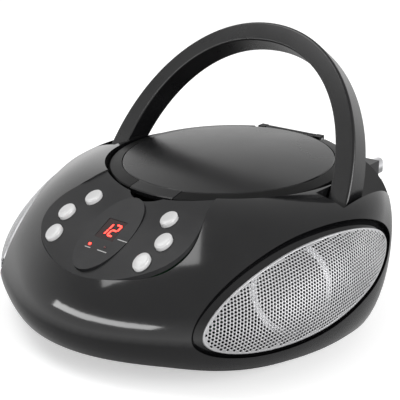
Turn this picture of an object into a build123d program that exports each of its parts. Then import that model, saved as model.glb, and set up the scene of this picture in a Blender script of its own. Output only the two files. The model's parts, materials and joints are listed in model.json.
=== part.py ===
"""A portable CD boombox: a round, domed cabinet with a speaker pod on each side,
a hinged CD lid on top and an arched carrying handle.
Millimetres. +X is the listener's right, -Y the front, +Z up, z = 0 the floor."""

import os
from math import atan2, cos, degrees, exp, radians, sin, tan

from build123d import *

# ---------------------------------------------------------------- driving dimensions
WALL = 2.4  # cabinet wall thickness
GAP = 0.3  # clearance between bodies that move past each other
FIT = 0.05  # radial running clearance of a pin in its bore

FRONT_Y = -114.6  # nose of the cabinet
REAR_Y = 114.6  # back of the aerial knuckle
FOOT_HEIGHT = 3.0

# Cabinet sections: front y, front z, rear y, rear z, half width, pod bulge.
SKIRT_RING = (-112.0, 13.5, 100.5, 13.5, 97.5, 9.6)
LIP_RING = (FRONT_Y, 20.0, 102.7, 20.0, 100.0, 10.1)
SHOULDER_RING = (-99.0, 47.0, 106.4, 56.0, 104.0, 6.3)
CROWN_RING = (-73.0, 66.5, 105.0, 73.5, 97.0, 1.8)
TOP_RING = (-46.0, 79.0, 98.0, 78.4, 75.5, 0.0)
CABINET_RINGS = (SKIRT_RING, LIP_RING, SHOULDER_RING, CROWN_RING, TOP_RING)
BASE_TOP_RING = (-98.5, 13.5, 89.5, 13.5, 88.5, 7.5)
BASE_FOOT_RING = (-92.5, FOOT_HEIGHT, 86.0, FOOT_HEIGHT, 86.5, 7.0)
POD_ANGLE = 12.0  # middle of the pod bulge, degrees forward of the side
POD_SPREAD = 40.0
RING_POINTS = 32

LID_CENTRE = (0.0, 26.4, 78.6)
LID_TILT = 2.5  # the lid leans down towards the front, degrees
LID_R = 62.2
WELL_R = 72.4
LID_CROWN = 5.4  # height of the lid's dome over its plane
DISC_FLOOR = -14.0  # deck surface below the lid plane
HINGE_Y = 66.0  # lid hinge axis behind the lid centre
HINGE_Z = -1.5
LID_PIN_R = 1.5
TAB_HALF = 15.2  # finger tab half width

PANEL_BACK_Y = -43.6
PANEL_BACK_Z = 75.8
PANEL_SLOPE = 0.3183
PANEL_CURVE = 0.0041
PANEL_THICK = 2.6
PANEL_OUTLINE = (
    (0, -98.6),
    (16, -96.3),
    (28, -92.0),
    (38, -86.5),
    (45.5, -79.5),
    (49, -70),
    (47, -57),
    (42, -46),
)
WINDOW_Y = -74.0
WINDOW_HALF = (25.5, 14.8)
DISPLAY_HALF = (6.4, 6.6)
BUTTONS = {
    "button_play": (27.0, -57.5),
    "button_skip_forward": (34.6, -70.4),
    "button_repeat": (31.4, -83.0),
    "button_stop": (-27.0, -57.5),
    "button_skip_back": (-34.6, -70.4),
    "button_program": (-31.4, -83.0),
}
BUTTON_HALF = (5.4, 4.2)  # along the slope and across it
BUTTON_TURN = 90.0
BUTTON_PROUD = 2.6

PIVOT_Y = 15.2
PIVOT_Z = 58.1
PIVOT_R = 3.0
HANDLE_LEAN = 31.3  # degrees back from upright, as it is carried and shown
HANDLE_OUTER = (87.7, 108.0, 2.05)  # half width, height, exponent of the arch
HANDLE_INNER = (75.5, 96.2, 2.13)
HANDLE_FRONT = 7.7
HANDLE_BACK = 8.3
HANDLE_BOSS_R = 8.0
HANDLE_FOLD = 39.0  # travel back into the deck channel

POD_CENTRE = (94.9, -33.0, 44.2)
POD_NORMAL = (0.855, -0.355, 0.377)
POD_LENGTHWAYS = (0.288, 0.931, 0.223)
GRILLE_HALF = (60.0, 20.5)
BEZEL_HALF = (64.5, 24.0)
ALMOND_POWER = 1.85

KNOB_CENTRE = (76.0, 62.0)
KNOB_Z = (48.5, 57.5)
KNOB_R = 11.0

AERIAL_X = 52.0
AERIAL_Y = 109.6
AERIAL_Z = 64.0
AERIAL_TUBES = ((3.0, 2.55), (2.5, 2.05), (2.0, 0.0))  # outer and inner radius of each section
AERIAL_LENGTH = 94.0
KNUCKLE_END_R = 5.2  # the knuckle's back end is rounded so that the mast can fold past it

BATTERY_BOX = (-54.0, -30.0, 5.4, 54.0, 54.0, 35.0)
BATTERY_PIN_R = 1.2
BATTERY_HINGE = (-24.0, 4.6)  # y and z of the battery door's pins
FLOOR = 2.4
SCREW_R = 1.5
INLET_PINS = (-27.3, -18.7)  # the two pins of the mains inlet
JACK_R = 3.0
SCOOP_R = 15.5  # finger scoop in front of the lid
DISPLAY_Y = -72.2
RAIL_R = 1.25
SCREW_ROD_R = 1.5

# ---------------------------------------------------------------- planes and shared forms
LID_PLANE = Plane(
    origin=LID_CENTRE, x_dir=(1, 0, 0), z_dir=(0, -sin(radians(LID_TILT)), cos(radians(LID_TILT)))
)


def handle_plane(lean):
    """The plane of the arch, its local y up the arch and its normal towards the front."""
    return Plane(
        origin=(0, PIVOT_Y, PIVOT_Z),
        x_dir=(1, 0, 0),
        z_dir=(0, -cos(radians(lean)), sin(radians(lean))),
    )


def pod_plane(side):
    """The plane of a speaker grille, its local y up the pod on both sides."""
    return Plane(
        origin=(side * POD_CENTRE[0], POD_CENTRE[1], POD_CENTRE[2]),
        x_dir=(POD_LENGTHWAYS[0], side * POD_LENGTHWAYS[1], side * POD_LENGTHWAYS[2]),
        z_dir=(side * POD_NORMAL[0], POD_NORMAL[1], POD_NORMAL[2]),
    )


def panel_height(y):
    t = PANEL_BACK_Y - y
    return PANEL_BACK_Z - PANEL_SLOPE * t - PANEL_CURVE * t * t


def panel_plane(x, y, turn=0.0):
    """A plane on the panel's surface at (x, y), turned about its normal by so many degrees."""
    slope = PANEL_SLOPE + 2 * PANEL_CURVE * (PANEL_BACK_Y - y)
    tilt = atan2(slope, 1.0)
    c, s = cos(radians(turn)), sin(radians(turn))
    across = (c, s * cos(tilt), s * sin(tilt))
    return Plane(origin=(x, y, panel_height(y)), x_dir=across, z_dir=(0, -sin(tilt), cos(tilt)))


def ring_plane(ring):
    front_y, front_z, rear_y, rear_z, _, _ = ring
    tilt = atan2(rear_z - front_z, rear_y - front_y)
    centre = (0, (front_y + rear_y) / 2, (front_z + rear_z) / 2)
    return Plane(origin=centre, x_dir=(1, 0, 0), z_dir=(0, -sin(tilt), cos(tilt)))


def ring_points(ring, inset):
    """An ellipse with a smooth bulge on each side, in its own plane."""
    front_y, front_z, rear_y, rear_z, half_width, bulge = ring
    half_depth = ((rear_y - front_y) ** 2 + (rear_z - front_z) ** 2) ** 0.5 / 2 - inset
    half_width = half_width - inset
    points = []
    for step in range(RING_POINTS):
        turn = radians(360 * step / RING_POINTS)
        radius = ((cos(turn) / half_width) ** 2 + (sin(turn) / half_depth) ** 2) ** -0.5
        forward = degrees(atan2(-sin(turn), abs(cos(turn))))
        radius += bulge * exp(-(((forward - POD_ANGLE) / POD_SPREAD) ** 4))
        points.append((radius * cos(turn), radius * sin(turn)))
    return points


def ring_loft(rings, inset=0.0, lower=0.0):
    """The solid through the rings, drawn in by inset and with its upper rings dropped by lower."""
    with BuildPart(mode=Mode.PRIVATE) as solid:
        for number, ring in enumerate(rings):
            drop = lower * number / (len(rings) - 1)
            with BuildSketch(ring_plane(ring).move(Location((0, 0, -drop)))):
                with BuildLine():
                    Spline(*ring_points(ring, inset), periodic=True)
                make_face()
        loft()
    return solid.part


def box_between(low, high):
    with BuildPart(mode=Mode.PRIVATE) as solid:
        middle = tuple((a + b) / 2 for a, b in zip(low, high))
        with Locations(middle):
            Box(*[b - a for a, b in zip(low, high)])
    return solid.part


def turned(plane, outline):
    """A solid of revolution about the plane's normal, from (radius, height) points."""
    section = Plane(origin=plane.origin, x_dir=plane.x_dir, z_dir=plane.y_dir * -1)
    with BuildPart(mode=Mode.PRIVATE) as solid:
        with BuildSketch(section):
            with BuildLine():
                Polyline(*outline, close=True)
            make_face()
        revolve(axis=Axis(plane.origin, plane.z_dir))
    return solid.part


def disc(plane, radius, low, high, inner=0.0):
    with BuildPart(mode=Mode.PRIVATE) as solid:
        with BuildSketch(plane.offset(low)):
            Circle(radius)
            if inner:
                Circle(inner, mode=Mode.SUBTRACT)
        extrude(amount=high - low)
    return solid.part


def along_x(radius, low, high, y, z, inner=0.0):
    return disc(Plane(origin=(0, y, z), x_dir=(0, 1, 0), z_dir=(1, 0, 0)), radius, low, high, inner)


def lid_point(x, y, z):
    return LID_PLANE.from_local_coords(Vector(x, y, z))


def lid_box(low, high):
    """A box in the lid's own tilted frame."""
    return LID_PLANE.location * box_between(low, high)


def arch_points(size, grow=0.0):
    half_width, height, power = size
    points = []
    steps = 18
    for step in range(steps + 1):
        turn = radians(180 * step / steps)
        x = (half_width + grow) * abs(cos(turn)) ** (2 / power)
        points.append((x if cos(turn) >= 0 else -x, (height + grow) * sin(turn) ** (2 / power)))
    return points


def arch(plane, grow, back, front):
    """The handle's arch, its band widened by grow each way, between two offsets from its plane."""
    with BuildPart(mode=Mode.PRIVATE) as solid:
        with BuildSketch(plane.offset(-back)):
            with BuildLine():
                outer = Spline(*arch_points(HANDLE_OUTER, grow))
                inner = Spline(*arch_points(HANDLE_INNER, -grow))
                Line(outer @ 0, inner @ 0)
                Line(outer @ 1, inner @ 1)
            make_face()
        extrude(amount=back + front)
    return solid.part


def almond(half, grow=0.0):
    """A pointed oval outline in the pod plane."""
    points = []
    for step in range(24):
        turn = radians(360 * step / 24)
        c, s = cos(turn), sin(turn)
        u = (half[0] + grow) * abs(c) ** (2 / ALMOND_POWER) * (1 if c >= 0 else -1)
        v = (half[1] + grow) * abs(s) ** (2 / ALMOND_POWER) * (1 if s >= 0 else -1)
        points.append((u, v))
    return points


def pod_prism(side, half, grow, low, high, lift=0.0):
    with BuildPart(mode=Mode.PRIVATE) as solid:
        with BuildSketch(pod_plane(side).offset(low)):
            with BuildLine():
                Spline(*[(u, v + lift) for u, v in almond(half, grow)], periodic=True)
            make_face()
        extrude(amount=high - low)
    return solid.part


def panel_prism(grow, low, high):
    """The panel's egg outline, standing straight up and running back under the lid ring."""
    right = [(x + grow * (x > 0), y - grow * (y < -80)) for x, y in PANEL_OUTLINE]
    left = [(-x, y) for x, y in right[:0:-1]]
    with BuildPart(mode=Mode.PRIVATE) as solid:
        with BuildSketch(Plane.XY.offset(low)):
            with BuildLine():
                edge = Spline(*left, *right)
                Polyline(edge @ 1, (right[-1][0] - 4, -30), (4 - right[-1][0], -30), edge @ 0)
            make_face()
        extrude(amount=high - low)
    return solid.part


def panel_slab(top, bottom):
    """A sheet that follows the panel's curve, between two offsets from its surface."""
    rows = (-102.0, -88.0, -74.0, -60.0, -46.0, -32.0)
    with BuildPart(mode=Mode.PRIVATE) as solid:
        with BuildSketch(Plane.YZ.offset(-60)):
            with BuildLine():
                upper = Spline(*[(y, panel_height(y) + top) for y in rows])
                lower = Spline(*[(y, panel_height(y) + bottom) for y in rows])
                Line(upper @ 0, lower @ 0)
                Line(upper @ 1, lower @ 1)
            make_face()
        extrude(amount=120)
    return solid.part


def panel_oval(half, grow, low, high, x=0.0, y=WINDOW_Y, turn=0.0):
    with BuildPart(mode=Mode.PRIVATE) as solid:
        with BuildSketch(panel_plane(x, y, BUTTON_TURN).offset(low)):
            Ellipse(half[0] + grow, half[1] + grow)
        extrude(amount=high - low)
    return solid.part


SCOOP_PLANE = Plane(origin=lid_point(0, -61.5, 0), x_dir=(1, 0, 0), z_dir=LID_PLANE.z_dir)
JACK_PLANE = Plane(origin=(32, -89.5, 8.8), x_dir=(0, 0, 1), z_dir=(0.28, -0.96, 0))
SKIRT_CENTRE_Y = (SKIRT_RING[0] + SKIRT_RING[2]) / 2
SCREW_SPOTS = [(x, y + SKIRT_CENTRE_Y) for x, y in ring_points(SKIRT_RING, 7.0)[2::5]]


def lid_rod(radius, x, low, high):
    """A rod along the lid frame's y direction, level with the sled's rails."""
    plane = Plane(origin=lid_point(x, 0, -20.5), x_dir=(1, 0, 0), z_dir=LID_PLANE.y_dir)
    return disc(plane, radius, low, high)


def aerial_rod(radius, low, high):
    return along_x(radius, low, high, AERIAL_Y, AERIAL_Z)


def aerial_disc(radius, low, high):
    return disc(Plane(origin=(AERIAL_X, 0, AERIAL_Z), x_dir=(1, 0, 0), z_dir=(0, 1, 0)), radius, low, high)


def save(part, name):
    part.label = name
    export_step(part, f"parts/{name}.step")


os.makedirs("parts", exist_ok=True)
SIDES = {"left": -1, "right": 1}

# ---------------------------------------------------------------- cabinet forms
outer_form = ring_loft(CABINET_RINGS)
inner_form = ring_loft(CABINET_RINGS, inset=WALL, lower=WALL)
well_cut = disc(LID_PLANE, WELL_R, DISC_FLOOR - 2, 30)
well_liner = disc(LID_PLANE, WELL_R + 2, DISC_FLOOR - 2, 20)
FOLDED = handle_plane(HANDLE_LEAN + HANDLE_FOLD)


def pivot_pocket(side, grow):
    """The slot that a leg of the handle swings in, from upright to folded."""
    radius = HANDLE_BOSS_R + 1.2 + grow
    reach = 62.0
    fold = radians(90 - HANDLE_LEAN - HANDLE_FOLD)
    under = radius * cos(fold) - 0.2
    with BuildPart(mode=Mode.PRIVATE) as solid:
        with BuildSketch(Plane.YZ.offset(side * 82 - (8.6 + grow))):
            with BuildLine():
                Polyline(
                    (PIVOT_Y - radius, PIVOT_Z),
                    (PIVOT_Y - radius, PIVOT_Z + 40),
                    (PIVOT_Y + reach, PIVOT_Z + 40),
                    (PIVOT_Y + reach, PIVOT_Z + reach * tan(fold) - under),
                    (PIVOT_Y + radius * sin(fold), PIVOT_Z - under),
                    (PIVOT_Y, PIVOT_Z - radius),
                    close=True,
                )
            make_face()
            with Locations((PIVOT_Y, PIVOT_Z)):
                Circle(radius)
        extrude(amount=2 * (8.6 + grow))
    return solid.part


channel_cut = arch(FOLDED, 1.2, HANDLE_BACK + 0.6, 60)
channel_liner = arch(FOLDED, 3.2, HANDLE_BACK + 2.6, 20)
knob_planes = [Plane(origin=(s * KNOB_CENTRE[0], KNOB_CENTRE[1], 0)) for s in SIDES.values()]
knob_slots = [disc(plane, KNOB_R + 1, KNOB_Z[0] - 0.6, KNOB_Z[1] + 0.6) for plane in knob_planes]
inlet_cut = box_between((-38, 95.5, 24), (-8, 125, 46))
inlet_liner = box_between((-40, 93.5, 22), (-6, 125, 48))
switch_cut = box_between((8, 95.5, 24), (38, 125, 46))
switch_liner = box_between((6, 93.5, 22), (40, 125, 48))

scoop_cut = disc(SCOOP_PLANE, SCOOP_R, -11.3, 20)
flange_room = box_between((-130, -130, 0), (130, 130, 15.9))
wall_holes = [
    box_between((-32, 93, 30.5), (-14, 96, 39.5)),
    box_between((16.5, 93, 38.4), (29.6, 96, 41.6)),
    box_between((15, 93, 28.4), (31, 96, 31.6)),
    scoop_cut,
]

# ---------------------------------------------------------------- upper shell
with BuildPart() as upper_shell:
    add(outer_form)
    add(inner_form, mode=Mode.SUBTRACT)
    with BuildPart(mode=Mode.PRIVATE) as liners:
        add(well_liner)
        add(panel_prism(2.0, 30, 90) - panel_slab(-3.0, -60))
        add(channel_liner)
        for side in SIDES.values():
            add(pivot_pocket(side, 2.0))
            add(pod_prism(side, BEZEL_HALF, 2.0, -14, 30, 1.5))
        add(inlet_liner)
        add(switch_liner)
        with BuildSketch(Plane.XY.offset(15.6)):
            with Locations(*SCREW_SPOTS):
                Circle(4.8)
        extrude(amount=9)
    add((liners.part & outer_form) - flange_room)
    add(well_cut, mode=Mode.SUBTRACT)
    add(panel_prism(0.0, 20, 90), mode=Mode.SUBTRACT)
    add(channel_cut, mode=Mode.SUBTRACT)
    for side in SIDES.values():
        add(pivot_pocket(side, 0.0), mode=Mode.SUBTRACT)
        add(pod_prism(side, BEZEL_HALF, 0.0, -30, 30, 1.5), mode=Mode.SUBTRACT)
    for cutter in (*knob_slots, inlet_cut, switch_cut, *wall_holes):
        add(cutter, mode=Mode.SUBTRACT)
    for side in SIDES.values():
        ends = sorted((side * 71.8, side * 92.2))
        add(along_x(PIVOT_R, ends[0], ends[1], PIVOT_Y, PIVOT_Z), mode=Mode.SUBTRACT)
    with BuildSketch(Plane.XY.offset(15.6)):
        with Locations(*SCREW_SPOTS):
            Circle(SCREW_R)
    extrude(amount=7.4, mode=Mode.SUBTRACT)
shell_solid = upper_shell.part.solids().sort_by(SortBy.VOLUME)[-1]
save(Part(shell_solid.wrapped), "upper_shell")

# ---------------------------------------------------------------- lower case and what is under it
base_outer = ring_loft((BASE_FOOT_RING, BASE_TOP_RING))
base_inner = Pos(0, 0, FLOOR) * ring_loft((BASE_FOOT_RING, BASE_TOP_RING), inset=WALL)
with BuildPart() as lower_case:
    with BuildSketch(ring_plane(SKIRT_RING)):
        with BuildLine():
            Spline(*ring_points(SKIRT_RING, WALL + 0.2), periodic=True)
        make_face()
    extrude(amount=2)
    add(base_outer)
    add(base_inner, mode=Mode.SUBTRACT)
    for side in SIDES.values():
        add(box_between((side * 52 - 2, -28, FOOT_HEIGHT), (side * 52 + 2, -20, 7.4)))
    add(box_between((-50, -26.8, 2), (50, 50, 8)), mode=Mode.SUBTRACT)
    add(along_x(BATTERY_PIN_R + FIT, -54.5, 54.5, *BATTERY_HINGE), mode=Mode.SUBTRACT)
    with BuildSketch(Plane.XY.offset(10)):
        with Locations(*SCREW_SPOTS):
            Circle(SCREW_R)
    extrude(amount=10, mode=Mode.SUBTRACT)
    add(disc(JACK_PLANE, JACK_R, -12, 12), mode=Mode.SUBTRACT)
save(lower_case.part, "lower_case")

with BuildPart() as feet:
    with BuildSketch():
        with Locations((58, -50), (-58, -50), (50, 58), (-50, 58)):
            Circle(8)
    extrude(amount=FOOT_HEIGHT)
    chamfer(feet.faces().sort_by(Axis.Z)[0].edges(), 0.8)
save(feet.part, "feet")

with BuildPart() as case_screws:
    with BuildSketch(Plane.XY.offset(11.7)):
        with Locations(*SCREW_SPOTS):
            Circle(2.5)
    extrude(amount=1.8)
    with BuildSketch(Plane.XY.offset(13.5)):
        with Locations(*SCREW_SPOTS):
            Circle(SCREW_R)
    extrude(amount=9.4)
save(case_screws.part, "case_screws")

with BuildPart() as battery_door:
    add(box_between((-49.6, -26.0, 3.6), (49.6, 49.6, 5.6)))
    add(along_x(BATTERY_PIN_R, -53.6, 53.6, *BATTERY_HINGE))
    add(box_between((-8, 44, 3.0), (8, 47, 3.6)))
save(battery_door.part, "battery_door")

low, high = BATTERY_BOX[:3], BATTERY_BOX[3:]
with BuildPart() as battery_box:
    add(box_between((low[0], low[1], low[2] + 2.2), high))
    add(box_between((low[0] + 1.6, low[1] + 1.6, low[2] - 1), (high[0] - 1.6, high[1] - 1.6, high[2] - 1.6)),
        mode=Mode.SUBTRACT)
save(battery_box.part, "battery_box")

with BuildPart() as battery_contacts:
    for side in SIDES.values():
        for row in (-13, 12, 37):
            edge = side * (high[0] - 1.6)
            plate = sorted((edge, edge - side * 0.5))
            add(box_between((plate[0], row - 7, 12), (plate[1], row + 7, 30)))
            tip = sorted((edge - side * 0.5, edge - side * 2.0))
            add(along_x(3.0, tip[0], tip[1], row, 21))
save(battery_contacts.part, "battery_contacts")

# ---------------------------------------------------------------- control panel, display and buttons
with BuildPart() as control_panel:
    add(panel_prism(-0.15, 20, 90) & panel_slab(0.0, -PANEL_THICK))
    add(disc(LID_PLANE, WELL_R + 0.2, -30, 30), mode=Mode.SUBTRACT)
    add(panel_oval(WINDOW_HALF, 0.15, -10, 10), mode=Mode.SUBTRACT)
    add(scoop_cut, mode=Mode.SUBTRACT)
    for x, y in BUTTONS.values():
        add(panel_oval(BUTTON_HALF, GAP, -10, 10, x, y, BUTTON_TURN), mode=Mode.SUBTRACT)
save(control_panel.part, "control_panel")


def display_block(grow, low, high):
    """A rectangular block under the display window."""
    with BuildPart(mode=Mode.PRIVATE) as solid:
        with BuildSketch(panel_plane(0, DISPLAY_Y).offset(low)):
            Rectangle(2 * (DISPLAY_HALF[0] + grow), 2 * (DISPLAY_HALF[1] + grow))
        extrude(amount=high - low)
    return solid.part


with BuildPart() as display_window:
    add(panel_oval(WINDOW_HALF, 0.0, -1.8, 0.3))
    add(display_block(0.1, -10, 10), mode=Mode.SUBTRACT)
save(display_window.part, "display_window")
save(display_block(0.0, -1.4, 0.1), "display_lens")
save(display_block(3.0, -5.6, -2.9), "display_module")

for name, (x, y) in BUTTONS.items():
    with BuildPart() as button:
        with BuildSketch(panel_plane(x, y, BUTTON_TURN).offset(-4.2)):
            Ellipse(BUTTON_HALF[0] + 1.2, BUTTON_HALF[1] + 1.2)
        extrude(amount=1.2)
        with BuildSketch(panel_plane(x, y, BUTTON_TURN).offset(-3.0)):
            Ellipse(*BUTTON_HALF)
        extrude(amount=3.0 + BUTTON_PROUD)
        crown = button.faces().sort_by(Axis(panel_plane(x, y).origin, panel_plane(x, y).z_dir))[-1]
        fillet(crown.edges(), 1.1)
    save(button.part, name)

with BuildPart() as panel_board:
    add(panel_prism(-4.0, 20, 90) & panel_slab(-7.2, -8.8))
    add(disc(LID_PLANE, WELL_R + 3, -40, 30), mode=Mode.SUBTRACT)
    add(disc(SCOOP_PLANE, SCOOP_R + 0.5, -20, 20), mode=Mode.SUBTRACT)
    for x, y in BUTTONS.values():
        add(panel_oval((2.2, 2.2), 0, -7.6, -5.7, x, y))
save(panel_board.part, "panel_board")

# ---------------------------------------------------------------- CD lid, its rim and the deck
rim_outline = ((62.6, 1.6), (69.4, 0.2), (70.0, -0.4), (70.0, -3.3), (66.8, -3.3), (66.8, -1.2), (62.6, -0.6))
with BuildPart() as lid_ring:
    add(turned(LID_PLANE, rim_outline))
    add(lid_box((-15.7, -80, -10), (15.7, -50, 10)), mode=Mode.SUBTRACT)
    add(lid_box((-27, 50, -10), (27, 80, 10)), mode=Mode.SUBTRACT)
save(lid_ring.part, "lid_ring")

tab_outline = ((60.6, 1.7), (62.6, 1.6), (69.4, 0.2), (70.0, -0.4), (70.0, -2.6), (60.6, -1.0))
with BuildPart() as cd_lid:
    with BuildSketch(Plane(origin=LID_PLANE.origin, x_dir=LID_PLANE.x_dir, z_dir=LID_PLANE.y_dir * -1)):
        with BuildLine():
            ThreePointArc((0, LID_CROWN), (LID_R / 2, LID_CROWN - 0.9), (LID_R - 0.5, 1.9))
            Polyline((LID_R - 0.5, 1.9), (LID_R, 1.4), (LID_R, -1.2), (LID_R - 2, -1.2), (LID_R - 2, -0.4))
            ThreePointArc((LID_R - 2, -0.4), (LID_R / 2, LID_CROWN - 3.1), (0, LID_CROWN - 2.2))
            Line((0, LID_CROWN - 2.2), (0, LID_CROWN))
        make_face()
    revolve(axis=Axis(LID_PLANE.origin, LID_PLANE.z_dir))
    add(turned(LID_PLANE, tab_outline) & lid_box((-TAB_HALF, -80, -10), (TAB_HALF, -50, 10)))
    add(lid_box((-18.2, 57, -2.6), (18.2, HINGE_Y, 0.4)))
    add(LID_PLANE.location * along_x(3.0, -18.2, 18.2, HINGE_Y, HINGE_Z))
    add(LID_PLANE.location * along_x(LID_PIN_R + FIT, -20, 20, HINGE_Y, HINGE_Z), mode=Mode.SUBTRACT)
save(cd_lid.part, "cd_lid")
save(LID_PLANE.location * along_x(LID_PIN_R, -23.4, 23.4, HINGE_Y, HINGE_Z), "lid_hinge_pin")

well_outline = (
    (0, DISC_FLOOR),
    (63, DISC_FLOOR),
    (63, -3.6),
    (66.6, -3.6),
    (66.6, -9),
    (72.2, -9),
    (72.2, -11),
    (65, -11),
    (65, DISC_FLOOR - 2),
    (0, DISC_FLOOR - 2),
)
with BuildPart() as cd_well:
    add(turned(LID_PLANE, well_outline))
    add(disc(SCOOP_PLANE, SCOOP_R - 0.3, -11, -9) - disc(LID_PLANE, 64.0, -20, 0))
    add(disc(SCOOP_PLANE, SCOOP_R - 0.3, -9, -4.2, SCOOP_R - 1.5) - disc(LID_PLANE, 66.0, -20, 0))
    for side in SIDES.values():
        ear = sorted((side * 18.6, side * 23.5))
        add(lid_box((ear[0], 62.8, -8), (ear[1], 68.2, 1.2)))
    add(lid_box((-18.6, 60, -5.4), (18.6, 71, 5)), mode=Mode.SUBTRACT)
    add(LID_PLANE.location * along_x(LID_PIN_R, -30, 30, HINGE_Y, HINGE_Z), mode=Mode.SUBTRACT)
    add(disc(LID_PLANE, 5, -20, 0), mode=Mode.SUBTRACT)
    add(lid_box((-5, 19, -20), (5, 60, -10)), mode=Mode.SUBTRACT)
save(cd_well.part, "cd_well")
save(lid_box((-6, -62.7, -9), (6, -61.2, -2.2)), "lid_catch")

# ---------------------------------------------------------------- disc drive
MOTOR_TOP, CHASSIS_TOP = -17.4, -26.0
with BuildPart() as turntable:
    add(turned(LID_PLANE, ((0, -7.2), (5.5, -7.2), (7.4, -8.6), (7.4, -10.6), (14, -10.6), (14, -12), (0, -12))))
    add(disc(LID_PLANE, 1.0, -24, -11))
save(turntable.part, "turntable")
save(disc(LID_PLANE, 11.5, CHASSIS_TOP, MOTOR_TOP, 1.0 + FIT), "spindle_motor")

with BuildPart() as drive_chassis:
    add(lid_box((-24, -20, CHASSIS_TOP - 2), (24, 66, CHASSIS_TOP)))
    for x, y in ((-21, -17), (21, -17), (-21, 60), (21, 60)):
        add(disc(Plane(origin=lid_point(x, y, 0), z_dir=LID_PLANE.z_dir), 2.5, CHASSIS_TOP, -16))
    for y in (12.4, 61):
        add(lid_box((-18, y, CHASSIS_TOP), (18, y + 2.4, -18)))
    add(disc(LID_PLANE, 13.0, CHASSIS_TOP, -17), mode=Mode.SUBTRACT)
    for x in (-9.5, 9.5):
        add(lid_rod(RAIL_R, x, 12.4, 63.4), mode=Mode.SUBTRACT)
    add(lid_rod(SCREW_ROD_R + FIT, 15, 12.0, 64), mode=Mode.SUBTRACT)
save(drive_chassis.part, "drive_chassis")

with BuildPart() as laser_sled:
    add(lid_box((-12, 15.2, -24), (12, 33.2, -17.4)))
    add(lid_box((12, 20, -23), (18, 28, -18)))
    add(disc(Plane(origin=lid_point(0, 24, 0), z_dir=LID_PLANE.z_dir), 3.2, -17.4, -14.6))
    for x in (-9.5, 9.5):
        add(lid_rod(RAIL_R + FIT, x, 10, 70), mode=Mode.SUBTRACT)
    add(lid_rod(SCREW_ROD_R + FIT, 15, 10, 70), mode=Mode.SUBTRACT)
save(laser_sled.part, "laser_sled")

with BuildPart() as sled_rails:
    for x in (-9.5, 9.5):
        add(lid_rod(RAIL_R, x, 12.4, 63.4))
save(sled_rails.part, "sled_rails")
save(lid_rod(SCREW_ROD_R, 15, 12.6, 66.0), "feed_screw")
save(lid_rod(4.3, 15, 66.4, 72.0), "sled_motor")

# ---------------------------------------------------------------- handle
with BuildPart() as handle:
    add(arch(handle_plane(HANDLE_LEAN), 0.0, HANDLE_BACK, HANDLE_FRONT))
    for side in SIDES.values():
        leg = sorted((side * (HANDLE_INNER[0] + 0.5), side * (HANDLE_OUTER[0] - 0.5)))
        add(along_x(HANDLE_BOSS_R - 0.5, leg[0], leg[1], PIVOT_Y, PIVOT_Z))
    add(along_x(PIVOT_R + FIT, -100, 100, PIVOT_Y, PIVOT_Z), mode=Mode.SUBTRACT)
save(handle.part, "handle")

with BuildPart() as handle_pivots:
    for side in SIDES.values():
        for radius, near, far in ((PIVOT_R, 71.8, 92.2), (5.5, 73.5, 75.2), (5.5, 88.0, 90.5)):
            ends = sorted((side * near, side * far))
            add(along_x(radius, ends[0], ends[1], PIVOT_Y, PIVOT_Z))
save(handle_pivots.part, "handle_pivots")

# ---------------------------------------------------------------- speakers
grille_skin = ring_loft(CABINET_RINGS, 0.8, 0.8) - ring_loft(CABINET_RINGS, 2.0, 2.0)
bezel_skin = ring_loft(CABINET_RINGS, 2.6, 2.6) - ring_loft(CABINET_RINGS, 5.0, 5.0)
for word, side in SIDES.items():
    with BuildPart() as grille:
        add(pod_prism(side, GRILLE_HALF, 0.0, -30, 30) & grille_skin)
    save(grille.part, f"speaker_grille_{word}")
    with BuildPart() as bezel:
        add(pod_prism(side, BEZEL_HALF, -0.15, -30, 30, 1.5) & bezel_skin)
        add(pod_prism(side, GRILLE_HALF, -2.0, -30, 30), mode=Mode.SUBTRACT)
        add(flange_room, mode=Mode.SUBTRACT)
    save(bezel.part, f"speaker_bezel_{word}")
    plane = pod_plane(side)
    basket = ((24, -14), (24, -16), (22.5, -16), (14, -28), (14, -30), (11, -30), (11, -28), (20.6, -14))
    with BuildPart() as frame:
        add(turned(plane, basket))
        with BuildSketch(plane.offset(-16)):
            with Locations((0, 24.5)):
                Rectangle(14, 5)
        extrude(amount=2)
    save(frame.part, f"speaker_frame_{word}")
    back = ((20.2, -14.2), (10.6, -27.6), (0, -25.6))
    front = ((0, -24.8), (9.8, -26.4), (19.2, -13.4), (20.2, -13.4))
    paper = back + front
    save(turned(plane, paper), f"speaker_cone_{word}")
    save(disc(plane, 14, -38, -30.1), f"speaker_magnet_{word}")

# ---------------------------------------------------------------- thumbwheels and their controls
KNOB_PAIRS = (("volume_knob", "volume_control"), ("tuning_knob", "tuning_capacitor"))
for (name, control), side in zip(KNOB_PAIRS, (-1, 1)):
    centre = Plane(origin=(side * KNOB_CENTRE[0], KNOB_CENTRE[1], 0))
    with BuildPart() as knob:
        with BuildSketch(centre.offset(KNOB_Z[0])):
            Circle(KNOB_R)
            with PolarLocations(KNOB_R + 0.1, 40):
                Circle(0.45, mode=Mode.SUBTRACT)
            Circle(1.5 + FIT, mode=Mode.SUBTRACT)
        extrude(amount=KNOB_Z[1] - KNOB_Z[0])
    save(knob.part, name)
    with BuildPart() as body:
        with BuildSketch(centre.offset(38)):
            with Locations((-side * 3.5, -3.5)):
                Rectangle(11, 11)
        extrude(amount=9)
        with BuildSketch(centre.offset(47)):
            Circle(1.5)
        extrude(amount=KNOB_Z[1] - 47)
    save(body.part, control)

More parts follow.
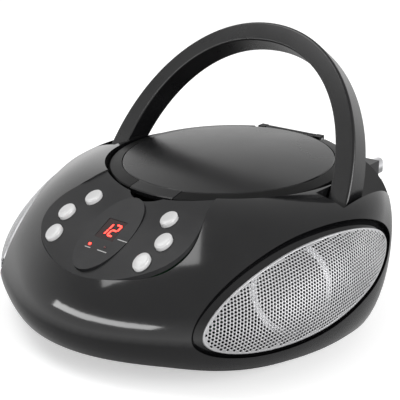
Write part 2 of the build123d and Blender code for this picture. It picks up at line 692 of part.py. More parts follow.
# ---------------------------------------------------------------- rear sockets and switches
with BuildPart() as ac_inlet:
    add(box_between((-34, 95.5, 28.5), (-12, 97.5, 41.5)))
    add(box_between((-32, 83, 30.5), (-14, 95.5, 39.5)))
    for x in INLET_PINS:
        add(disc(Plane(origin=(x, 0, 35), x_dir=(1, 0, 0), z_dir=(0, 1, 0)), 3.4, 86, 98), mode=Mode.SUBTRACT)
    add(box_between((INLET_PINS[0], 86, 32.6), (INLET_PINS[1], 98, 37.4)), mode=Mode.SUBTRACT)
    for x in INLET_PINS:
        add(disc(Plane(origin=(x, 0, 35), x_dir=(1, 0, 0), z_dir=(0, 1, 0)), 1.2, 85, 95))
save(ac_inlet.part, "ac_inlet")

for name, x, z in (("band_switch", 20.0, 40.0), ("function_switch", 23.0, 30.0)):
    with BuildPart() as switch:
        add(box_between((x - 2.4, 93.2, z - 1.4), (x + 2.4, 98.4, z + 1.4)))
        add(box_between((x - 5, 92.0, z - 3), (x + 5, 93.2, z + 3)))
    save(switch.part, name)
save(box_between((10, 84, 25), (36, 91.7, 45)), "switch_block")

with BuildPart() as aux_jack:
    add(disc(JACK_PLANE, JACK_R, -6.4, 0.6, 1.8))
    add(disc(JACK_PLANE, JACK_R, -8, -6.4))
save(aux_jack.part, "aux_jack")

# ---------------------------------------------------------------- aerial
with BuildPart() as antenna_bracket:
    add(box_between((AERIAL_X - 6, 80, AERIAL_Z - 6.5), (AERIAL_X + 6, 104, AERIAL_Z + 6.5)) - outer_form)
    add(aerial_disc(2.0 + FIT, 96, 106), mode=Mode.SUBTRACT)
save(antenna_bracket.part, "antenna_bracket")

with BuildPart() as antenna_knuckle:
    add(aerial_disc(5.0, 104.3, REAR_Y))
    add(aerial_disc(2.0, 98, 104.3))
    slot = box_between((AERIAL_X - 12, 105.8, AERIAL_Z - 1.7), (AERIAL_X + 3.8, 120, AERIAL_Z + 1.7))
    corners = box_between((AERIAL_X - 8, AERIAL_Y, AERIAL_Z - 8), (AERIAL_X + 8, REAR_Y + 1, AERIAL_Z + 8))
    corners -= disc(Plane(origin=(AERIAL_X, AERIAL_Y, AERIAL_Z)), KNUCKLE_END_R, -9, 9)
    add(slot + corners, mode=Mode.SUBTRACT)
    add(disc(Plane(origin=(AERIAL_X, AERIAL_Y, AERIAL_Z)), 1.0, -4.6, 4.6))
save(antenna_knuckle.part, "antenna_knuckle")

aerial_root = AERIAL_X - 5.6
aerial_tip = aerial_root - AERIAL_LENGTH
with BuildPart() as antenna_outer:
    add(aerial_rod(AERIAL_TUBES[0][0], aerial_tip, aerial_root))
    add(box_between((aerial_root - 4, AERIAL_Y - 3, AERIAL_Z - 1.4), (AERIAL_X, AERIAL_Y + 3, AERIAL_Z + 1.4)))
    add(disc(Plane(origin=(AERIAL_X, AERIAL_Y, AERIAL_Z)), 3.0, -1.4, 1.4))
    add(disc(Plane(origin=(AERIAL_X, AERIAL_Y, AERIAL_Z)), 1.0 + FIT, -2, 2), mode=Mode.SUBTRACT)
    add(aerial_rod(AERIAL_TUBES[0][1], aerial_tip - 1, aerial_root - 6), mode=Mode.SUBTRACT)
save(antenna_outer.part, "antenna_outer")
with BuildPart() as antenna_middle:
    add(aerial_rod(AERIAL_TUBES[1][0], aerial_tip, aerial_root - 7))
    add(aerial_rod(AERIAL_TUBES[1][1], aerial_tip - 1, aerial_root - 9), mode=Mode.SUBTRACT)
save(antenna_middle.part, "antenna_middle")
with BuildPart() as antenna_inner:
    add(aerial_rod(AERIAL_TUBES[2][0], aerial_tip - 1, aerial_root - 10))
    add(aerial_rod(3.3, aerial_tip - 6, aerial_tip - 0.4))
save(antenna_inner.part, "antenna_inner")

with BuildPart() as antenna_clip:
    add(box_between((-42, 90, AERIAL_Z - 5.4), (-34, 113.8, AERIAL_Z + 2)) - outer_form)
    add(aerial_rod(AERIAL_TUBES[0][0] + GAP, -45, -30), mode=Mode.SUBTRACT)
    add(box_between((-45, AERIAL_Y - 3.3, AERIAL_Z), (-30, AERIAL_Y + 3.3, AERIAL_Z + 9)), mode=Mode.SUBTRACT)
save(antenna_clip.part, "antenna_clip")

# ---------------------------------------------------------------- electronics
with BuildPart() as main_board:
    add(box_between((-45, -80, 10), (45, -34, 11.6)))
    for x, y in ((-40, -70), (40, -70), (-40, -38), (40, -38)):
        add(disc(Plane(origin=(x, y, 0)), 2.5, 5.4, 10))
    chips = ((-20, -55, 16, 12, 4), (14, -60, 22, 14, 3))
    blocks = ((-34, -45, 8, 8, 9), (34, -48, 10, 10, 12))
    for x, y, w, d, h in chips + blocks:
        add(box_between((x - w / 2, y - d / 2, 11.6), (x + w / 2, y + d / 2, 11.6 + h)))
    for x, y in ((-8, -72), (2, -72), (26, -74), (0, -42), (10, -42)):
        add(disc(Plane(origin=(x, y, 0)), 3.2, 11.6, 20))
save(main_board.part, "main_board")

with BuildPart() as transformer:
    add(box_between((-20, 59, 5.4), (20, 79, 36)))
    add(box_between((-13, 56.5, 11), (13, 81.5, 30)))
save(transformer.part, "transformer")
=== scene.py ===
"""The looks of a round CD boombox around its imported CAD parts. Everything is in metres, in the CAD frame."""

import json
from math import asin, atan2, cos, pi, radians, sin, sqrt

import bmesh
import bpy
import numpy as np
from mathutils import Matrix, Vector
from mathutils.bvhtree import BVHTree


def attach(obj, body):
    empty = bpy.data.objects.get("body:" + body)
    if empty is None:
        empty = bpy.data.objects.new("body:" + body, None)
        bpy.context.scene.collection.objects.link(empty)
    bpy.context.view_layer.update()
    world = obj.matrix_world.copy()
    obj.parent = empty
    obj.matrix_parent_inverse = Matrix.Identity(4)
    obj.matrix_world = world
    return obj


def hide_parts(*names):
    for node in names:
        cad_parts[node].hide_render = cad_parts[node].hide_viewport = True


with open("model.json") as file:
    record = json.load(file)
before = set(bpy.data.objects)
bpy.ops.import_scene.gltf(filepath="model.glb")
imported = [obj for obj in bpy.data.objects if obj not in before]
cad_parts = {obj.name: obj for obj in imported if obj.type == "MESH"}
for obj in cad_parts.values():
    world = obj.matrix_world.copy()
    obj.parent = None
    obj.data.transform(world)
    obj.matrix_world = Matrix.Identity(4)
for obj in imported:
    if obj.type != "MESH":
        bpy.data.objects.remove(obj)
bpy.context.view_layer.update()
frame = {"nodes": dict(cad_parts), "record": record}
NODES = frame["nodes"]
MM = 0.001


# ---------------------------------------------------------------- materials
def new_material(name):
    """An empty node material: its tree, its surface shader and object coordinates."""
    material = bpy.data.materials.new(name)
    material.use_nodes = True
    tree = material.node_tree
    shader = tree.nodes["Principled BSDF"]
    coords = tree.nodes.new("ShaderNodeTexCoord").outputs["Object"]
    return material, tree, shader, coords


def noise(tree, coords, scale, detail=3.0, roughness=0.55):
    node = tree.nodes.new("ShaderNodeTexNoise")
    node.inputs["Scale"].default_value = scale
    node.inputs["Detail"].default_value = detail
    node.inputs["Roughness"].default_value = roughness
    tree.links.new(coords, node.inputs["Vector"])
    return node.outputs["Fac"]


def remap(tree, value, low, high, start=0.3, stop=0.7):
    node = tree.nodes.new("ShaderNodeMapRange")
    node.inputs["From Min"].default_value = start
    node.inputs["From Max"].default_value = stop
    node.inputs["To Min"].default_value = low
    node.inputs["To Max"].default_value = high
    tree.links.new(value, node.inputs["Value"])
    return node.outputs["Result"]


def blend_colours(tree, factor, first, second):
    node = tree.nodes.new("ShaderNodeMix")
    node.data_type = "RGBA"
    for socket, value in ((node.inputs[6], first), (node.inputs[7], second)):
        if isinstance(value, tuple):
            socket.default_value = (*value, 1.0)
        else:
            tree.links.new(value, socket)
    tree.links.new(factor, node.inputs[0])
    return node.outputs[2]


def bump(tree, shader, height, strength, distance):
    node = tree.nodes.new("ShaderNodeBump")
    node.inputs["Strength"].default_value = strength
    node.inputs["Distance"].default_value = distance
    tree.links.new(height, node.inputs["Height"])
    tree.links.new(node.outputs["Normal"], shader.inputs["Normal"])


def worn(tree, colour, tint, amount):
    """Rubs the sharp edges towards a lighter tint, broken up so that no edge is even."""
    edge = tree.nodes.new("ShaderNodeNewGeometry").outputs["Pointiness"]
    coords = tree.nodes.new("ShaderNodeTexCoord").outputs["Object"]
    sharp = remap(tree, edge, 0.0, amount, 0.53, 0.62)
    patch = remap(tree, noise(tree, coords, 140, 4), 0.2, 1.0)
    both = tree.nodes.new("ShaderNodeMath")
    both.operation = "MULTIPLY"
    tree.links.new(sharp, both.inputs[0])
    tree.links.new(patch, both.inputs[1])
    return blend_colours(tree, both.outputs[0], colour, tint)


def plastic(name, dark, light, rough, grain, depth, coat=0.0, wear=0.12, metallic=0.0, specular=0.5):
    """A moulded or painted surface: mottled colour, uneven gloss, fine grain and rubbed edges."""
    material, tree, shader, coords = new_material(name)
    mottle = remap(tree, noise(tree, coords, 45, 5), 0.0, 1.0)
    colour = blend_colours(tree, mottle, dark, light)
    tint = tuple(min(1.0, channel * 2.2 + 0.03) for channel in light)
    tree.links.new(worn(tree, colour, tint, wear), shader.inputs["Base Color"])
    smear = noise(tree, coords, 18, 4, 0.6)
    tree.links.new(remap(tree, smear, rough[0], rough[1]), shader.inputs["Roughness"])
    bump(tree, shader, noise(tree, coords, grain, 2), depth, 0.0002)
    shader.inputs["Coat Weight"].default_value = coat
    shader.inputs["Coat Roughness"].default_value = 0.04
    shader.inputs["Metallic"].default_value = metallic
    shader.inputs["Specular IOR Level"].default_value = specular
    return material


def metal(name, colour, rough, stretch=(1, 1, 1), grain=900):
    """Bare metal with drawn or turned scratches and faint dulling."""
    material, tree, shader, coords = new_material(name)
    mapping = tree.nodes.new("ShaderNodeMapping")
    mapping.inputs["Scale"].default_value = stretch
    tree.links.new(coords, mapping.inputs["Vector"])
    scratches = noise(tree, mapping.outputs["Vector"], grain, 2)
    dull = remap(tree, noise(tree, coords, 60, 4), 0.0, 1.0)
    darker = tuple(channel * 0.78 for channel in colour)
    tree.links.new(blend_colours(tree, dull, colour, darker), shader.inputs["Base Color"])
    tree.links.new(remap(tree, scratches, rough * 0.7, rough * 1.5), shader.inputs["Roughness"])
    bump(tree, shader, scratches, 0.08, 0.0002)
    shader.inputs["Metallic"].default_value = 1.0
    return material


def circuit_board():
    """Green solder mask over raised copper tracks, with tinned pads."""
    material, tree, shader, coords = new_material("circuit_board")
    tracks = tree.nodes.new("ShaderNodeTexBrick")
    tracks.inputs["Scale"].default_value = 120
    tracks.inputs["Mortar Size"].default_value = 0.03
    tree.links.new(coords, tracks.inputs["Vector"])
    pads = tree.nodes.new("ShaderNodeTexVoronoi")
    pads.inputs["Scale"].default_value = 260
    tree.links.new(coords, pads.inputs["Vector"])
    base = blend_colours(tree, tracks.outputs["Fac"], (0.012, 0.085, 0.03), (0.03, 0.16, 0.055))
    spots = remap(tree, pads.outputs["Distance"], 1.0, 0.0, 0.12, 0.16)
    tree.links.new(blend_colours(tree, spots, base, (0.6, 0.6, 0.58)), shader.inputs["Base Color"])
    tree.links.new(remap(tree, noise(tree, coords, 80), 0.28, 0.5), shader.inputs["Roughness"])
    bump(tree, shader, tracks.outputs["Fac"], 0.3, 0.0001)
    return material


def glow(name, colour, strength):
    """A lit segment, its glow varying a little from place to place."""
    material, tree, shader, coords = new_material(name)
    level = remap(tree, noise(tree, coords, 500, 1), strength * 0.85, strength)
    shader.inputs["Base Color"].default_value = (*colour, 1.0)
    shader.inputs["Emission Color"].default_value = (*colour, 1.0)
    shader.inputs["Roughness"].default_value = 0.3
    tree.links.new(level, shader.inputs["Emission Strength"])
    return material


LOOKS = {
    "black_gloss": plastic(
        "black_gloss", (0.0035, 0.0035, 0.004), (0.006, 0.006, 0.0065), (0.07, 0.13), 260, 0.015, coat=0.3
    ),
    "black_satin": plastic(
        "black_satin", (0.010, 0.010, 0.011), (0.017, 0.017, 0.018), (0.34, 0.46), 1600, 0.10
    ),
    "panel_grey": plastic(
        "panel_grey", (0.010, 0.010, 0.011), (0.015, 0.015, 0.016), (0.38, 0.48), 2400, 0.12, specular=0.32
    ),
    "silver_button": plastic(
        "silver_button", (0.60, 0.60, 0.60), (0.69, 0.69, 0.69), (0.20, 0.32), 900, 0.03, coat=0.5, wear=0.0
    ),
    "grille_silver": plastic(
        "grille_silver", (0.44, 0.44, 0.45), (0.54, 0.54, 0.55), (0.32, 0.44), 1200, 0.05, wear=0.05,
        metallic=0.75
    ),
    "display_red": plastic(
        "display_red", (0.012, 0.001, 0.001), (0.022, 0.002, 0.002), (0.06, 0.12), 300, 0.01, coat=0.8,
        wear=0.0
    ),
    "steel": metal("steel", (0.56, 0.56, 0.58), 0.28, (1, 1, 8)),
    "chrome": metal("chrome", (0.80, 0.80, 0.82), 0.08, (0.2, 1, 1), 700),
    "board": circuit_board(),
    # ring_black: the lid ring's own black; given to the CD well, it also stands for painted shade deep in the
    # well, over the well's black plastic.
    "ring_black": plastic(
        "ring_black", (0.003, 0.003, 0.003), (0.006, 0.006, 0.006), (0.30, 0.42), 1500, 0.06, specular=0.12
    ),
    "lid_satin": plastic(
        "lid_satin", (0.004, 0.004, 0.0045), (0.007, 0.007, 0.0075), (0.22, 0.30), 700, 0.03
    ),
    "handle_satin": plastic(
        "handle_satin", (0.004, 0.004, 0.0045), (0.008, 0.008, 0.0085), (0.22, 0.32), 900, 0.03, wear=0.03
    ),
    "rubber": plastic(
        "rubber", (0.010, 0.010, 0.010), (0.020, 0.020, 0.020), (0.65, 0.85), 900, 0.35, wear=0.25
    ),
    "copper": metal("copper", (0.72, 0.50, 0.26), 0.22),
    "cone_paper": plastic(
        "cone_paper", (0.016, 0.016, 0.017), (0.032, 0.032, 0.034), (0.75, 0.92), 1400, 0.6, wear=0.1
    ),
    "magnet": plastic(
        "magnet", (0.035, 0.035, 0.038), (0.06, 0.06, 0.065), (0.5, 0.7), 700, 0.4, wear=0.3
    ),
    "grey_plastic": plastic(
        "grey_plastic", (0.24, 0.24, 0.25), (0.31, 0.31, 0.32), (0.35, 0.5), 1100, 0.12
    ),
}
LIT_RED = glow("lit_red", (1.0, 0.03, 0.02), 7.0)
UNLIT_RED = plastic(
    "unlit_red", (0.05, 0.004, 0.004), (0.08, 0.006, 0.006), (0.15, 0.25), 600, 0.02, coat=0.5, wear=0.0
)
PRINT_WHITE = plastic(
    "print_white", (0.42, 0.42, 0.42), (0.52, 0.52, 0.52), (0.4, 0.6), 1500, 0.1, wear=0.0
)
# Nodes whose finish differs from that of their slot; the CD well's extra-dark black is partly its black
# plastic, partly painted shade deep in the well.
OWN_LOOKS = {
    "lid_ring": "ring_black",
    "cd_well": "ring_black",
    "cd_lid": "lid_satin",
    "handle": "handle_satin",
}

SLOT_OF = {part["node"]: part["material_slot"] for part in frame["record"]["subparts"]}


def dress(thing, look):
    """Gives a mesh one material."""
    thing.data.materials.clear()
    thing.data.materials.append(look)


def soften(thing, angle=35.0):
    """Shades a mesh smooth across edges flatter than the angle."""
    split = thing.modifiers.new("split", "EDGE_SPLIT")
    split.split_angle = radians(angle)


for name, node in NODES.items():
    dress(node, LOOKS[SLOT_OF[name]])
for name, look in OWN_LOOKS.items():
    dress(NODES[name], LOOKS[look])


# ---------------------------------------------------------------- mesh helpers
def make_mesh(name, vertices, faces, body, look, stands_for=(), smooth=True):
    """A new piece from points in millimetres."""
    mesh = bpy.data.meshes.new(name)
    mesh.from_pydata([Vector(v) * MM for v in vertices], [], faces)
    shape = bmesh.new()
    shape.from_mesh(mesh)
    bmesh.ops.remove_doubles(shape, verts=shape.verts, dist=1e-7)
    bmesh.ops.dissolve_degenerate(shape, dist=1e-7, edges=shape.edges)
    bmesh.ops.recalc_face_normals(shape, faces=shape.faces)
    shape.to_mesh(mesh)
    shape.free()
    if smooth:
        mesh.shade_smooth()
    piece = bpy.data.objects.new(name, mesh)
    bpy.context.scene.collection.objects.link(piece)
    dress(piece, look)
    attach(piece, body)
    if stands_for:
        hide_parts(*stands_for)
    return piece


def skin(rings, cap=True):
    """Vertices and faces through closed rings of equal length."""
    vertices = [point for ring in rings for point in ring]
    count = len(rings[0])
    faces = []
    for row in range(len(rings) - 1):
        this, above = row * count, (row + 1) * count
        for step in range(count):
            after = (step + 1) % count
            faces.append((this + step, this + after, above + after, above + step))
    if cap:
        faces.append(tuple(range(count))[::-1])
        faces.append(tuple(range((len(rings) - 1) * count, len(rings) * count)))
    return vertices, faces


def weigh(piece):
    """Keeps broad faces flat between rounded edges."""
    piece.modifiers.new("weigh", "WEIGHTED_NORMAL")


# ---------------------------------------------------------------- the cabinet's glossy skin
# Cabinet sections: front y, front z, rear y, rear z, half width, pod bulge, in millimetres.
CABINET_RINGS = (
    (-112.0, 13.5, 100.5, 13.5, 97.5, 9.6),
    (-114.6, 20.0, 102.7, 20.0, 100.0, 10.1),
    (-99.0, 47.0, 106.4, 56.0, 104.0, 6.3),
    (-73.0, 66.5, 105.0, 73.5, 97.0, 1.8),
    (-46.0, 79.0, 98.0, 78.4, 75.5, 0.0),
)
POD_ANGLE = 12.0  # middle of the pod bulge, degrees forward of the side
POD_SPREAD = 40.0
ON_FORM = 0.0013  # metres: a vertex this near to the form is on the outer face
FACING_OUT = 0.8  # least cosine between an outer face and the form under it


def ring_outline(ring, count):
    """Points of one cabinet section: an ellipse with a smooth bulge on each side, in its own tilted plane."""
    front_y, front_z, rear_y, rear_z, half_width, bulge = ring
    tilt = atan2(rear_z - front_z, rear_y - front_y)
    half_depth = sqrt((rear_y - front_y) ** 2 + (rear_z - front_z) ** 2) / 2
    turn = np.arange(count) * 2 * pi / count
    across, along = np.cos(turn), np.sin(turn)
    radius = ((across / half_width) ** 2 + (along / half_depth) ** 2) ** -0.5
    forward = np.degrees(np.arctan2(-along, np.abs(across)))
    radius = radius + bulge * np.exp(-(((forward - POD_ANGLE) / POD_SPREAD) ** 4))
    reach = radius * along
    middle = ((front_y + rear_y) / 2, (front_z + rear_z) / 2)
    return np.stack([radius * across, middle[0] + reach * cos(tilt), middle[1] + reach * sin(tilt)], axis=1)


def form_surface(count=288, rows=84):
    """A fine smooth surface through the cabinet's sections: the form that its outer faces lie on."""
    rings = np.array([ring_outline(ring, count) for ring in CABINET_RINGS])
    steps = np.linalg.norm(np.diff(rings, axis=0), axis=2).mean(axis=1)
    knots = np.concatenate([[0.0], np.cumsum(steps)]) / steps.sum()
    levels = np.linspace(-0.02, 1.03, rows)
    surface = np.zeros((rows, count, 3))
    for number, knot in enumerate(knots):
        weight = np.ones(rows)
        for other in np.delete(knots, number):
            weight *= (levels - other) / (knot - other)
        surface += weight[:, None, None] * rings[number]
    points = [Vector(point) * MM for point in surface.reshape(-1, 3)]
    return points, skin(surface.tolist(), cap=False)[1]


def smooth_skin(node_name, points, faces):
    """A copy of a CAD shell: outer faces are shaded by the form they lie on, cut walls stay flat."""
    source = NODES[node_name]
    mesh = source.data.copy()
    mesh.name = node_name + "_skin"
    shape = bmesh.new()
    shape.from_mesh(mesh)
    bmesh.ops.remove_doubles(shape, verts=shape.verts, dist=2e-6)
    shape.to_mesh(mesh)
    shape.free()
    form = BVHTree.FromPolygons(points, faces)
    corners = [Vector(points[index]) for index in faces[len(faces) // 2]]
    middle = sum(corners, Vector()) / 4
    facing = (corners[1] - corners[0]).cross(corners[3] - corners[0])
    flip = -1.0 if facing.dot(middle - Vector((0, 0, 0.045))) < 0 else 1.0

    def form_normal(place):
        hit, _, index, distance = form.find_nearest(place)
        total, blend = 0.0, Vector()
        for i in faces[index]:
            weight = 1.0 / ((points[i] - hit).length + 2e-5)
            blend += vertex_normals[i] * weight
            total += weight
        return (blend / total).normalized(), distance

    vertex_normals = [Vector() for _ in points]
    for face in faces:
        a, b, c, d = (points[i] for i in face)
        normal = (c - a).cross(d - b) * flip
        for i in face:
            vertex_normals[i] += normal
    vertex_normals = [normal.normalized() for normal in vertex_normals]
    at_vertex = [form_normal(vertex.co) for vertex in mesh.vertices]
    outer = set()
    for face in mesh.polygons:
        near = all(at_vertex[v][1] < ON_FORM for v in face.vertices)
        form_side = sum((at_vertex[v][0] for v in face.vertices), Vector()).normalized()
        if near and face.normal.dot(form_side) > FACING_OUT:
            outer.add(face.index)
    mesh.shade_smooth()
    normals = [Vector()] * len(mesh.loops)
    for face in mesh.polygons:
        for loop in face.loop_indices:
            smooth = face.index in outer
            normals[loop] = at_vertex[mesh.loops[loop].vertex_index][0] if smooth else face.normal.copy()
    mesh.normals_split_custom_set(normals)
    piece = bpy.data.objects.new(node_name + "_skin", mesh)
    bpy.context.scene.collection.objects.link(piece)
    dress(piece, LOOKS[SLOT_OF[node_name]])
    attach(piece, "cabinet")
    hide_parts(node_name)


smooth_skin("upper_shell", *form_surface())

# ---------------------------------------------------------------- the handle
PIVOT = Vector((0, 15.2, 58.1))
LEAN = radians(31.3)  # back from upright
ARCH_NORMAL = Vector((0, -cos(LEAN), sin(LEAN)))
ARCH_UP = Vector((0, sin(LEAN), cos(LEAN)))
OUTER_ARCH = (87.7, 108.0, 2.05)  # half width, height and power of the curve
INNER_ARCH = (75.5, 96.2, 2.13)
BACK, FRONT = -8.3, 7.7
EDGE_R = 1.1
TIP_DEPTH = 8.0  # how far the rounded leg ends reach below the pivot line
ARCH_STEPS = 72
TIP_STEPS = 7


def arch_point(size, turn):
    x = size[0] * abs(cos(turn)) ** (2 / size[2])
    return Vector((x if cos(turn) >= 0 else -x, size[1] * sin(turn) ** (2 / size[2])))


def section(width, low, high, edge):
    """A rounded box as (across, out) points: one edge has a broad bevel, the others a small one."""
    points = []
    front = ((width, high, edge * 1.5, 0), (0, high, edge, 90))
    corners = front + ((0, low, edge, 180), (width, low, edge, 270))
    for across, out, radius, start in corners:
        radius = min(radius, (high - low) * 0.48)
        centre = (across - radius if across else radius, out - radius if out == high else out + radius)
        for step in range(5):
            turn = radians(start + 90 * step / 4)
            points.append((centre[0] + radius * cos(turn), centre[1] + radius * sin(turn)))
    return points


def handle_rings():
    """Sections along the arch from one rounded leg end to the other."""
    rings = []
    stations = [(pi * step / ARCH_STEPS, 0.0) for step in range(ARCH_STEPS + 1)]
    tips = [asin(min(1.0, k / TIP_STEPS)) for k in range(1, TIP_STEPS + 1)]
    start = [(0.0, -tip) for tip in reversed(tips)]
    end = [(pi, -tip) for tip in tips]
    for turn, tip in start + stations + end:
        inside, outside = arch_point(INNER_ARCH, turn), arch_point(OUTER_ARCH, turn)
        across = (outside - inside).normalized()
        width = (outside - inside).length
        drop = TIP_DEPTH * sin(-tip)
        shrink = max(0.04, cos(tip))
        middle = (BACK + FRONT) / 2
        half = (FRONT - BACK) / 2 * shrink
        ring = []
        for a, out in section(width, middle - half, middle + half, EDGE_R):
            flat = inside + across * a
            ring.append(PIVOT + Vector((flat.x, 0, 0)) + ARCH_UP * (flat.y - drop) + ARCH_NORMAL * out)
        rings.append(ring)
    return rings


vertices, faces = skin(handle_rings())
weigh(make_mesh(
    "handle_moulding", vertices, faces, "handle", LOOKS["handle_satin"], ("handle",)
))

# ---------------------------------------------------------------- control panel: buttons, display, marks
PANEL_BACK_Y, PANEL_BACK_Z, PANEL_SLOPE, PANEL_CURVE = -43.6, 75.8, 0.3183, 0.0041
WINDOW_Y = -74.0
DISPLAY_Y = -72.2
BUTTONS = {
    "button_play": (27.0, -57.5),
    "button_skip_forward": (34.6, -70.4),
    "button_repeat": (31.4, -83.0),
    "button_stop": (-27.0, -57.5),
    "button_skip_back": (-34.6, -70.4),
    "button_program": (-31.4, -83.0),
}


def panel_frame(x, y, turn=0.0):
    """Origin and axes of the panel's surface at (x, y): along, up the slope and out."""
    t = PANEL_BACK_Y - y
    tilt = atan2(PANEL_SLOPE + 2 * PANEL_CURVE * t, 1.0)
    origin = Vector((x, y, PANEL_BACK_Z - PANEL_SLOPE * t - PANEL_CURVE * t * t))
    c, s = cos(turn), sin(turn)
    along = Vector((c, s * cos(tilt), s * sin(tilt)))
    up = Vector((-s, c * cos(tilt), c * sin(tilt)))
    return origin, along, up, Vector((0, -sin(tilt), cos(tilt)))


def oval_rings(place, half, profile, count=48):
    origin, along, up, out = place
    rings = []
    for scale, height in profile:
        ring = []
        for step in range(count):
            turn = 2 * pi * step / count
            flat = along * (half[0] * scale * cos(turn)) + up * (half[1] * scale * sin(turn))
            ring.append(origin + flat + out * height)
        rings.append(ring)
    return rings


# Share of the oval's size against height over the panel: a flange below, a straight side, a low dome.
BUTTON_PROFILE = (
    (1.19, -4.2), (1.19, -3.0), (1.0, -3.0), (1.0, 1.15), (0.985, 1.6), (0.945, 2.0), (0.87, 2.3),
    (0.75, 2.47), (0.55, 2.56), (0.3, 2.59), (0.05, 2.6),
)
BUTTON_HALF = (5.4, 4.2)
for name, (x, y) in BUTTONS.items():
    place = panel_frame(x, y, pi / 2)
    vertices, faces = skin(oval_rings(place, BUTTON_HALF, BUTTON_PROFILE))
    silver = LOOKS["silver_button"]
    cap = make_mesh(name + "_cap", vertices, faces, name + "_body", silver, (name,))
    soften(cap, 50)


def on_panel(place, points, low, high):
    """A thin flat tile on the panel, from (along, up) points."""
    origin, along, up, out = place
    rings = [[origin + along * u + up * v + out * height for u, v in points] for height in (low, high)]
    return skin(rings)


def digit(segments, left, slant, tall=7.6, wide=3.6, thick=0.95):
    """The bars of one seven-segment digit, each a flat hexagon, leaning by slant."""
    half = tall / 2
    gap = 0.12
    places = {
        "top": ((left, half), (left + wide, half)),
        "middle": ((left, 0), (left + wide, 0)),
        "bottom": ((left, -half), (left + wide, -half)),
        "upper_left": ((left, 0), (left, half)),
        "upper_right": ((left + wide, 0), (left + wide, half)),
        "lower_left": ((left, -half), (left, 0)),
        "lower_right": ((left + wide, -half), (left + wide, 0)),
    }
    bars = []
    for segment in segments:
        first, last = (Vector(point) for point in places[segment])
        run = (last - first).normalized()
        side = Vector((-run.y, run.x)) * thick / 2
        a, b = first + run * gap, last - run * gap
        inner_a, inner_b = a + run * thick / 2, b - run * thick / 2
        outline = (a, inner_a - side, inner_b - side, b, inner_b + side, inner_a + side)
        bars.append([(point.x + point.y * slant, point.y) for point in outline])
    return bars


def tiles(name, outlines, place, low, high, look):
    """One piece made of several thin tiles on the panel."""
    vertices, faces = [], []
    for outline in outlines:
        more, pieces = on_panel(place, outline, low, high)
        faces += [tuple(index + len(vertices) for index in face) for face in pieces]
        vertices += more
    make_mesh(name, vertices, faces, "cabinet", look, smooth=False)


display = panel_frame(0, DISPLAY_Y)
one = digit(("upper_right", "lower_right"), -5.2, 0.14)
two = digit(("top", "upper_right", "middle", "lower_left", "bottom"), 0.6, 0.14)
tiles("display_digits", one + two, display, 0.1, 0.16, LIT_RED)


def bar_outline(x, y, wide, tall):
    left, right, low, high = x - wide / 2, x + wide / 2, y - tall / 2, y + tall / 2
    return [(left, low), (right, low), (right, high), (left, high)]


window = panel_frame(0, WINDOW_Y)


def lens_dome(name, x, v, look):
    """A small domed indicator lens on the display window."""
    origin, along, up, out = window
    profile = ((1.0, 0.28), (1.0, 0.42), (0.9, 0.6), (0.7, 0.75), (0.4, 0.85), (0.08, 0.88))
    place = (origin + along * x + up * v, along, up, out)
    vertices, faces = skin(oval_rings(place, (0.8, 0.8), profile, 20))
    make_mesh(name, vertices, faces, "cabinet", look)


lens_dome("indicator_lit", -5.1, -9.9, LIT_RED)
lens_dome("indicator_unlit", 4.9, -9.2, UNLIT_RED)
bars = ((-5.0, -12.1, 4.0, 0.5), (5.0, -11.9, 6.4, 0.5), (11.6, -2.4, 6.6, 0.5))
marks = [bar_outline(*bar) for bar in bars]
tiles("printed_marks", marks, window, 0.3, 0.33, PRINT_WHITE)

# ---------------------------------------------------------------- perforated speaker grilles
GRILLE_HALF = (60.0, 20.5)
ALMOND_POWER = 1.85
PITCH = 1.7
HOLE = 0.60
SHEET = 0.5
# The hem round the sheet, as (outwards, above the sheet) points.
HEM = ((-0.1, -0.9), (-0.1, -0.05), (-0.25, 0.05), (-0.75, 0.05), (-0.95, -0.1), (-0.95, -0.9))
HEM_STEPS = 120


def almond_factor(u, v, grow=0.0):
    """How far out a point is on the almond outline: 1 on its edge."""
    a, b = GRILLE_HALF[0] + grow, GRILLE_HALF[1] + grow
    return (abs(u / a) ** ALMOND_POWER + abs(v / b) ** ALMOND_POWER) ** (1 / ALMOND_POWER)


def almond_point(turn, grow):
    c, s = cos(turn), sin(turn)
    u = (GRILLE_HALF[0] + grow) * abs(c) ** (2 / ALMOND_POWER)
    v = (GRILLE_HALF[1] + grow) * abs(s) ** (2 / ALMOND_POWER)
    return (u if c >= 0 else -u), (v if s >= 0 else -v)


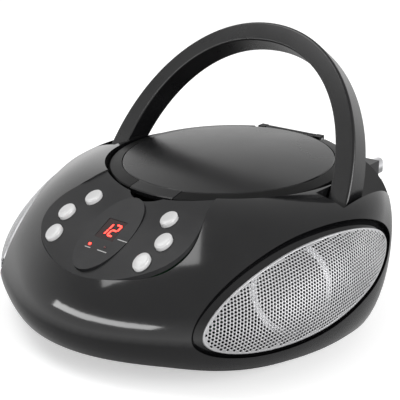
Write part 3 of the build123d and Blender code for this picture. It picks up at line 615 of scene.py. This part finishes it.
def build_grille(word, side):
    """A sheet of hexagonal cells, each with a round hole, laid over the plain CAD grille, with a hem."""
    solid = NODES["speaker_grille_" + word].data
    corners = [vertex.co.copy() for vertex in solid.vertices]
    surface = BVHTree.FromPolygons(corners, [tuple(face.vertices) for face in solid.polygons])
    out = Vector((side * 0.855, -0.355, 0.377)).normalized()
    along = Vector((0.288, side * 0.931, side * 0.223)).normalized()
    up = out.cross(along).normalized()
    origin = Vector((side * 94.9, -33.0, 44.2))
    found = {}

    def skin_point(u, v, lift=0.0):
        """The point of the pressed sheet over (u, v), kept inside its outline."""
        factor = almond_factor(u, v, -0.08)
        if factor > 1.0:
            u, v = u / factor, v / factor
        key = (round(u, 3), round(v, 3))
        if key not in found:
            start = (origin + along * u + up * v + out * 40) * MM
            hit = surface.ray_cast(start, -out)[0]
            if hit is None:
                hit = surface.find_nearest((origin + along * u + up * v) * MM)[0]
            found[key] = Vector(hit) / MM
        return found[key] + out * lift

    vertices, faces = [], []
    rows = int(GRILLE_HALF[1] / (PITCH * 0.866)) + 2
    columns = int(GRILLE_HALF[0] / PITCH) + 2
    for row in range(-rows, rows + 1):
        for column in range(-columns, columns + 1):
            u = (column + 0.5 * (row % 2)) * PITCH
            v = row * PITCH * 0.866
            if almond_factor(u, v, 0.9) > 1.0:
                continue
            edge = PITCH / sqrt(3)
            rim = []
            for k in range(12):
                turn = pi / 6 * k + pi / 6
                reach = edge if k % 2 == 0 else PITCH / 2
                rim.append((u + reach * cos(turn), v + reach * sin(turn)))
            base = len(vertices)
            vertices += [skin_point(*point) for point in rim]
            if almond_factor(u, v, -1.2) > 1.0:
                faces.append(tuple(range(base, base + 12)))
                continue
            for k in range(12):
                turn = pi / 6 * k + pi / 6
                vertices.append(skin_point(u + HOLE * cos(turn), v + HOLE * sin(turn)))
            for k in range(12):
                after = (k + 1) % 12
                faces.append((base + k, base + after, base + 12 + after, base + 12 + k))
    silver = LOOKS["grille_silver"]
    replaced = ("speaker_grille_" + word,)
    piece = make_mesh("grille_mesh_" + word, vertices, faces, "cabinet", silver, replaced)
    if sum(face.normal.dot(out) for face in piece.data.polygons) < 0:
        piece.data.flip_normals()
    thick = piece.modifiers.new("sheet", "SOLIDIFY")
    thick.thickness = SHEET * MM
    thick.offset = -1.0
    rings = []
    for step in range(HEM_STEPS):
        turn = 2 * pi * step / HEM_STEPS
        rings.append([skin_point(*almond_point(turn, grow), lift) for grow, lift in HEM])
    rings.append(rings[0])
    vertices, faces = skin(rings, cap=False)
    hem = make_mesh("grille_hem_" + word, vertices, faces, "cabinet", silver)
    soften(hem, 60)


for word, side in (("left", -1), ("right", 1)):
    build_grille(word, side)

# ---------------------------------------------------------------- stage, light and camera
def look_from(thing, place, target):
    thing.location = Vector(place)
    thing.rotation_mode = "QUATERNION"
    thing.rotation_quaternion = (Vector(target) - Vector(place)).to_track_quat("-Z", "Y")


def panel_light(name, place, target, size, power):
    data = bpy.data.lights.new(name, "AREA")
    data.shape = "RECTANGLE"
    data.size, data.size_y = size
    data.energy = power
    lamp = bpy.data.objects.new(name, data)
    bpy.context.scene.collection.objects.link(lamp)
    look_from(lamp, place, target)
    return lamp


def build_stage():
    """A wide pale floor that glossy faces don't mirror."""
    mesh = bpy.data.meshes.new("studio_floor")
    shape = bmesh.new()
    bmesh.ops.create_grid(shape, x_segments=8, y_segments=8, size=6.0)
    shape.to_mesh(mesh)
    shape.free()
    floor = bpy.data.objects.new("studio_floor", mesh)
    bpy.context.scene.collection.objects.link(floor)
    material, tree, shader, coords = new_material("studio_floor")
    pale = blend_colours(tree, noise(tree, coords, 2), (0.88, 0.88, 0.88), (0.91, 0.91, 0.91))
    tree.links.new(pale, shader.inputs["Base Color"])
    shader.inputs["Emission Color"].default_value = (1, 1, 1, 1)
    shader.inputs["Emission Strength"].default_value = 0.45
    tree.links.new(remap(tree, noise(tree, coords, 5), 0.7, 0.8), shader.inputs["Roughness"])
    dress(floor, material)
    floor.visible_glossy = False


def build_world():
    """A pale surround, brighter near the horizon than overhead."""
    world = bpy.data.worlds.new("studio")
    bpy.context.scene.world = world
    world.use_nodes = True
    tree = world.node_tree
    sky = tree.nodes["Background"]
    coords = tree.nodes.new("ShaderNodeTexCoord").outputs["Generated"]
    split = tree.nodes.new("ShaderNodeSeparateXYZ")
    tree.links.new(coords, split.inputs["Vector"])
    above = remap(tree, split.outputs["Z"], 1.12, 0.48, 0.10, 0.65)
    below = remap(tree, split.outputs["Z"], 0.36, 1.0, -0.30, 0.06)
    level = tree.nodes.new("ShaderNodeMath")
    level.operation = "MULTIPLY"
    tree.links.new(above, level.inputs[0])
    tree.links.new(below, level.inputs[1])
    tree.links.new(level.outputs[0], sky.inputs["Strength"])
    sky.inputs["Color"].default_value = (1, 1, 1, 1)


build_stage()
build_world()
panel_light("key_softbox", (-0.45, -0.25, 1.10), (0, 0, 0.05), (0.6, 0.6), 4)
panel_light("right_softbox", (1.05, 0.05, 0.48), (0.09, -0.03, 0.05), (0.75, 0.45), 7)
strip = panel_light("front_strip", (-0.36, -1.07, 0.57), (0, 0, 0.04), (1.3, 0.17), 5)
strip.visible_diffuse = False

CAMERA_PLACE = (0.30859, -0.37834, 0.23103)
CAMERA_TARGET = (-0.02148, 0.02637, 0.04814)
camera_data = bpy.data.cameras.new("camera")
camera = bpy.data.objects.new("camera", camera_data)
bpy.context.scene.collection.objects.link(camera)
camera_data.lens = 81.0
camera_data.sensor_width = 36.0
look_from(camera, CAMERA_PLACE, CAMERA_TARGET)
bpy.context.scene.camera = camera

bpy.context.scene.view_settings.view_transform = "Standard"
